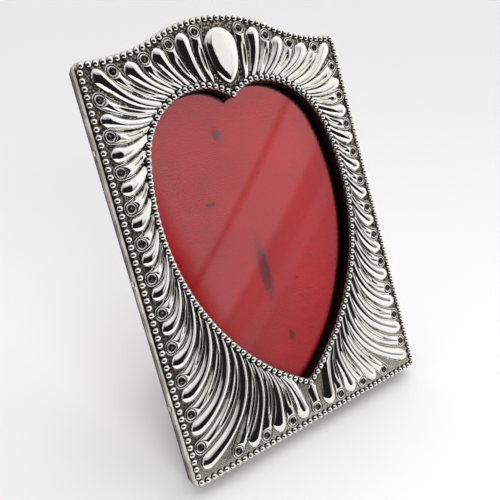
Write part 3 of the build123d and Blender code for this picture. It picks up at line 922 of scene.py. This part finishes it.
# red lining: ribbed paper on a card, painted black outside the heart as the shadow under the lip, faded in
# places and painted lighter towards the right, with old damp marks
liningLook = {
    "red": (0.39, 0.009, 0.014),
    "fadedAndLit": (0.64, 0.015, 0.021),
    "mark": (0.060, 0.012, 0.016),
    # painted shadow: the black of the card where the lip shades it
    "paintedShadow": (0.004, 0.003, 0.003),
    "cloud": (0.035, 4.0),  # scale, detail and, for one, roughness of each noise
    "fibre": (1.0, 2.0),
    "ragged": (0.6, 5.0, 0.65),
    "speck": (0.45, 2.0),
    "fibreStretch": (0.25, 1.6, 1.6),
    "fadeCloud": (0.35, 0.7),
    "paintedLightAcross": (-25.0, 40.0),  # millimetres: painted light, the red grows lighter towards the right
    "cloudShare": 0.35,
    "raggedShare": 2.6,
    "markEdge": (0.0, 1.6),
    "markShare": 0.82,
    "speckEdge": (0.28, 0.36),
    "speckShare": 0.45,
    "fibreShare": 0.2,
    "shadowEdge": (0.3, 0.7),
    "rough": 0.62,
    "fibreRough": 0.2,
    "shine": 0.2,
    "ribPitch": 1.0,
    "ribHigh": 0.5,
    "bump": (0.2, 0.1),  # strength, and depth in millimetres
    "marks": (  # across, up, half width, half height in millimetres
        (-2.0, 70.0, 2.9, 13.0),
        (3.0, 38.0, 1.6, 2.6),
        (-8.0, 132.0, 2.4, 3.2),
        (-20.0, 104.0, 2.8, 1.0),
        (-31.0, 118.0, 0.6, 0.6),
        (-44.0, 118.0, 1.6, 3.4),
        (8.0, 112.0, 0.9, 0.6),
        (14.0, 62.0, 0.9, 0.8),
    ),
}


def redLining():
    material, finish = newMaterial("redLining")
    look = liningLook
    spot = finish.place()
    across, y, z = finish.parts(spot)
    up = (y - frontY) * leanSin + (z - frontZ) * leanCos
    cloud = finish.noise(spot, *look["cloud"]).step(*look["fadeCloud"])
    fibre = finish.noise(finish.stretch(spot, look["fibreStretch"]), *look["fibre"])
    # random fading, and painted light that grows towards the right
    fadeAndLight = cloud * look["cloudShare"] + across.step(*look["paintedLightAcross"]) * (1 - look["cloudShare"])
    ragged = (finish.noise(spot, *look["ragged"]) - 0.5) * look["raggedShare"]
    stain = (1 - finish.noise(spot, *look["speck"]).step(*look["speckEdge"])) * look["speckShare"]
    for x, v, wide, tall in look["marks"]:
        right = (across - x) * (1 / wide)
        above = (up - v) * (1 / tall)
        mark = 1 - (right * right + above * above + ragged).step(*look["markEdge"])
        stain = finish.maths("MAXIMUM", stain, mark)
    colour = finish.blend(fadeAndLight, look["red"], look["fadedAndLit"])
    colour = finish.blend(stain * look["markShare"], colour, look["mark"])
    colour = finish.blend(fibre * look["fibreShare"], colour, look["mark"])
    ridge = finish.maths("SINE", up * (2 * math.pi / look["ribPitch"]))
    finish.surface({
        # painted shadow: where the card's tone is low, the red turns black
        "Base Color": finish.blend(finish.tone().step(*look["shadowEdge"]), look["paintedShadow"], colour),
        "Roughness": look["rough"] + fibre * look["fibreRough"],
        "Specular IOR Level": look["shine"],
        "Normal": finish.bump(ridge * look["ribHigh"] + fibre, *look["bump"]),
    })
    return material


# the lining's card: red as far as the heart's edge, and painted black beyond it as the shadow under the lip
card = {
    "front": -9.4,  # out of the front face, in millimetres
    "thick": 0.8,
    "half": 53.39,
    "foot": 13.45,
    "top": 155.65,
    "middle": 88.0,  # its rows of faces go out from here
    "rimSteps": 120,
    "rimHalf": 0.15,
    "innerShare": 0.5,
    "spread": 2.0,  # the red runs on past the heart's edge at its foot, so the painted shadow starts further out there
    "spreadFrom": (0.7, 0.9),
}


def makeCard(material):
    half = np.linspace(0, 1, card["rimSteps"] + 1)
    share = np.concatenate([half, half[-2:0:-1]])
    hand = np.where(np.arange(len(share)) < len(half), 1, -1)
    mirror = np.stack([hand, np.ones_like(hand)], -1)
    middle = np.array([0.0, card["middle"]])
    edge = heart["edge"] - card["spread"] * smooth(*card["spreadFrom"], share)
    # the second rim is where the painted shadow begins
    redRim, shadowRim = [heartAt(share, edge + step) * mirror for step in (card["rimHalf"], -card["rimHalf"])]
    ray = shadowRim - middle
    tall = np.where(ray[:, 1] > 0, card["top"] - card["middle"], card["middle"] - card["foot"])
    with np.errstate(divide="ignore"):
        reach = np.minimum(card["half"] / np.abs(ray[:, 0]), tall / np.abs(ray[:, 1]))
    outer = middle + ray * reach[:, None]
    for x in (-card["half"], card["half"]):
        for v in (card["foot"], card["top"]):
            outer[np.argmin(np.linalg.norm(outer - np.array([x, v]), axis=1))] = x, v
    inside = middle + (redRim - middle) * card["innerShare"]
    front = card["front"]
    # tone 1 is the lit red, and tone 0 is the painted shadow
    rows = [(inside, front, 1.0), (redRim, front, 1.0), (shadowRim, front, 0.0), (outer, front, 0.0)]
    rows.append((outer, front - card["thick"], 0.0))
    shell = Shell()
    shell.grid(*stacked(rows), **closedTube)
    shell.piece("liningCard", material, "lining_card", sharp=30.0)


def dress(material, *names):
    for name in names:
        slots = nodes[name].data.materials
        slots.clear()
        slots.append(material)


dress(clearGlass(), "glass")
makeCard(redLining())

# woods: figure and pores drawn out along the grain
woodLook = {
    "bend": (1.0, 3.0),  # scale, detail and, for one, roughness of each noise
    "grain": (1.0, 5.0, 0.65),
    "pores": (1.0, 2.0),
    "bendStretch": (0.03, 0.03, 0.008),
    "poreStretch": (3.2, 3.2, 0.12),
    "alongGrain": 0.05,
    "bendShare": 0.8,
    "figureLess": 0.4,
    "figure": (0.25, 0.75),
    "poreEdge": (0.32, 0.42),
    "poreShare": 0.7,
    "poreShade": 0.3,
    "grainRough": 0.2,
    "grainHigh": 0.5,
    "bump": (0.4, 0.1),  # strength, and depth in millimetres
}
woods = {  # node: name, dark and light colours, lean of the grain, roughness, scale of the figure
    "core": ("blackWood", (0.010, 0.006, 0.004), (0.045, 0.022, 0.013), stance["lean"], 0.42, 0.8),
    # the spacer is painted nearly black, as the shade in the gap behind the glass
    "spacer": ("spacerPaintedShade", (0.003, 0.002, 0.002), (0.008, 0.005, 0.004), stance["lean"], 0.7, 0.8),
    "back_board": ("mahogany", (0.085, 0.026, 0.010), (0.26, 0.095, 0.036), stance["lean"], 0.3, 0.5),
    "leg": ("legMahogany", (0.080, 0.024, 0.010), (0.24, 0.088, 0.034), -stance["legLean"], 0.3, 0.5),
}


def wood(name, dark, light, grainLean, rough, scale):
    material, finish = newMaterial(name)
    look = woodLook
    spot = finish.tilt(finish.place(), grainLean)
    bend = finish.noise(finish.stretch(spot, look["bendStretch"]), *look["bend"])
    grain = finish.noise(finish.stretch(spot, (scale, scale, scale * look["alongGrain"])), *look["grain"])
    pore = 1 - finish.noise(finish.stretch(spot, look["poreStretch"]), *look["pores"]).step(*look["poreEdge"])
    figure = (grain + bend * look["bendShare"] - look["figureLess"]).step(*look["figure"])
    shade = tuple(part * look["poreShade"] for part in dark)
    finish.surface({
        "Base Color": finish.blend(pore * look["poreShare"], finish.blend(figure, dark, light), shade),
        "Roughness": rough + grain * look["grainRough"],
        "Normal": finish.bump(grain * look["grainHigh"] - pore, *look["bump"]),
    })
    return material


for woodNode, woodHow in woods.items():
    dress(wood(*woodHow), woodNode)

# metals: clouded with age, and the silver pins with a finish of their own
metalLook = {
    "cloud": (0.35, 4.0),  # scale and detail of each noise
    "fine": (2.5, 3.0),
    "cloudShare": 0.7,
    "bright": (0.38, 0.66),
    "rough": 0.5,
    "polish": 0.22,
    "bump": (0.25, 0.08),  # strength, and depth in millimetres
}
buttons = ["turn_button_" + corner for corner in ("upper_left", "upper_right", "lower_left", "lower_right")]
nails = ("button_pins", "hinge_plate_nails", "leg_leaf_nails")
metals = {  # name: bright and dull colours, and the nodes
    "agedBrass": ((0.78, 0.57, 0.25), (0.28, 0.17, 0.07), (*buttons, "hinge_plate", "leg_leaf")),
    "pinBrass": ((0.80, 0.60, 0.28), (0.33, 0.21, 0.09), nails),
    "plainSteel": ((0.62, 0.61, 0.59), (0.25, 0.24, 0.23), ("hinge_pin",)),
}
pinLook = {
    "dull": (0.46, 0.42, 0.35),
    "bright": (0.84, 0.82, 0.78),
    "worn": (0.9, 4.0),  # scale and detail of the noise
    "polish": 0.2,
    "wornRough": 0.25,
}


def agedMetal(name, bright, dull):
    material, finish = newMaterial(name)
    look = metalLook
    spot = finish.place()
    cloud = finish.noise(spot, *look["cloud"])
    fine = finish.noise(spot, *look["fine"])
    clean = (cloud * look["cloudShare"] + fine * (1 - look["cloudShare"])).step(*look["bright"])
    finish.surface({
        "Base Color": finish.blend(clean, dull, bright),
        "Metallic": 1.0,
        "Roughness": look["rough"] - clean * look["polish"],
        "Normal": finish.bump(fine, *look["bump"]),
    })
    return material


def pinSilver():
    material, finish = newMaterial("pinSilver")
    worn = finish.noise(finish.place(), *pinLook["worn"])
    finish.surface({
        "Base Color": finish.blend(worn, pinLook["dull"], pinLook["bright"]),
        "Metallic": 1.0,
        "Roughness": pinLook["polish"] + worn * pinLook["wornRough"],
    })
    return material


for metalName, (bright, dull, metalNodes) in metals.items():
    dress(agedMetal(metalName, bright, dull), *metalNodes)
dress(pinSilver(), "front_pins")
print("finishes set")

# camera, fitted to the corners of the outer bead row in the photograph
shot = {
    "place": (-144.34, 105.55, 205.76),  # across, up and out of the front face, in millimetres
    "right": (0.79815, -0.26225, 0.54239),
    "down": (-0.27250, -0.96008, -0.06320),
    "lensPixels": 588.1,
    "imagePixels": 500.0,
    "sensor": 36.0,
    "nearest": 0.005,  # metres
}


def aim(way):  # a direction on the front face in the shared frame
    return np.array([way[0], way[1] * leanSin - way[2] * leanCos, way[1] * leanCos + way[2] * leanSin])


def facing(right, up, back, place):
    turn = Matrix((right, up, back)).transposed().to_4x4()
    turn.translation = place
    return turn


def makeCamera():
    lens = bpy.data.cameras.new("camera")
    lens.sensor_fit = "HORIZONTAL"
    lens.sensor_width = shot["sensor"]
    lens.lens = shot["sensor"] * shot["lensPixels"] / shot["imagePixels"]
    lens.clip_start = shot["nearest"]
    right = unit(aim(shot["right"]))
    up = -aim(shot["down"])
    up = unit(up - right * (up @ right))
    eyePoint = addObject("camera", lens)
    eyePoint.matrix_world = facing(right, up, np.cross(right, up), toRow(*shot["place"]))
    bpy.context.scene.camera = eyePoint


makeCamera()

# room: white for the camera; the silver mirrors a window at the right and a dark room in front
room = {
    "white": 1.0,
    "dark": 0.012,
    "windowEdge": (26.5, 29.5),  # degrees from straight in front towards the right
    "windowLow": 0.3,  # the window is dim low down and brightens over slanted folds of a blind
    "foldSlant": 0.62,
    "folds": (  # start and end of each fold in degrees, and what it adds
        ((-16.0, -12.0), 0.1),
        ((-11.6, -10.8), 0.14),
        ((-10.0, -9.2), -0.12),
        ((-7.6, -6.6), 0.46),
    ),
    "seam": (-2.0, 0.8, 0.45),  # place, half width and depth of a thin dark seam
    "openTurn": (42.0, 54.0),  # from here on round the window has no blind
    "open": 1.02,
    "ceiling": 0.5,
    "ceilingRise": (41.0, 53.0),
    "zenith": 0.35,
    "zenithRise": (55.0, 75.0),
    "behind": 0.75,  # light from the left and behind
    "behindTurn": (-94.0, -70.0),
}


def makeRoom():
    world = bpy.data.worlds.new("room")
    world.use_nodes = True
    bpy.context.scene.world = world
    finish = Finish(world.node_tree)
    x, y, z = finish.parts(finish.add("ShaderNodeTexCoord", output=0))
    turn = finish.maths("ARCTAN2", x, y * -1.0) * math.degrees(1)
    rise = finish.maths("ARCSINE", z) * math.degrees(1)
    across = rise - turn * room["foldSlant"]
    blind = room["windowLow"]
    for (low, high), gain in room["folds"]:
        blind = blind + across.step(low, high) * gain
    place, half, depth = room["seam"]
    blind = blind - (1 - finish.maths("ABSOLUTE", across - place).step(0.0, half)) * depth
    opened = turn.step(*room["openTurn"])
    window = (blind * (1 - opened) + opened * room["open"]) * turn.step(*room["windowEdge"])
    zenith = rise.step(*room["zenithRise"]) * room["zenith"]
    ceiling = rise.step(*room["ceilingRise"]) * room["ceiling"] + zenith
    behind = (1 - turn.step(*room["behindTurn"])) * room["behind"]
    mirrored = finish.maths("MAXIMUM", finish.maths("MAXIMUM", window, ceiling), behind) + room["dark"]
    camera = finish.add("ShaderNodeLightPath", output=0)
    level = mirrored * (1 - camera) + camera * room["white"]
    glow = finish.add("ShaderNodeBackground", {}, {"Color": (1.0, 1.0, 1.0), "Strength": level})
    finish.add("ShaderNodeOutputWorld", {}, {"Surface": glow})


makeRoom()

# pale floor, in two parts: the silver mirrors the dark room in place of the apron in front and at the left
floorLook = {
    "pale": (0.9, 0.9, 0.9),
    "shade": (0.86, 0.86, 0.86),
    "shadeShare": 0.2,
    "cloud": (0.02, 3.0),  # scale and detail of the noise
    "rough": 0.6,
    "shine": 0.2,
    "near": -0.3,  # metres: the floor starts here, and the apron goes on in front and at the left
    "far": 4.0,
}


def makeFloor():
    material, finish = newMaterial("paleFloor")
    cloud = finish.noise(finish.place(), *floorLook["cloud"])
    finish.surface({
        "Base Color": finish.blend(cloud * floorLook["shadeShare"], floorLook["pale"], floorLook["shade"]),
        "Roughness": floorLook["rough"],
        "Specular IOR Level": floorLook["shine"],
    })
    near, far = floorLook["near"], floorLook["far"]
    shapes = {
        "floor": ((near, near), (far, near), (far, far), (near, far)),
        "apron": ((-far, -far), (far, -far), (far, near), (near, near), (near, far), (-far, far)),
    }
    for name, corners in shapes.items():
        mesh = bpy.data.meshes.new(name)
        mesh.from_pydata([(x, y, 0.0) for x, y in corners], [], [tuple(range(len(corners)))])
        mesh.materials.append(material)
        floor = addObject(name, mesh)
        floor.visible_glossy = name == "floor"


makeFloor()

# lamps: a soft fill in front, and a wide sun at the right for the shadow
lamps = {  # kind, place in metres, strength, and size in metres or, for the sun, radians
    "fill": ("AREA", (-0.15, -0.75, 0.35), 4.6, 0.4),
    "sun": ("SUN", (1.0, 0.3, 0.9), 0.85, 0.9),
}
lampAim = (0.0, 0.03, 0.08)  # metres


def makeLamp(name, kind, place, energy, size):  # kept out of the mirror of the silver and the glass
    light = bpy.data.lights.new(name, kind)
    light.energy = energy
    setattr(light, "angle" if kind == "SUN" else "size", size)
    back = unit(np.array(place) - np.array(lampAim))
    right = unit(np.cross((0, 0, 1), back))
    lamp = addObject(name, light)
    lamp.matrix_world = facing(right, np.cross(back, right), back, place)
    lamp.visible_glossy = False
    lamp.visible_transmission = False


for lampName, lampHow in lamps.items():
    makeLamp(lampName, *lampHow)
bpy.context.scene.view_settings.view_transform = "Standard"
print("room and camera set")
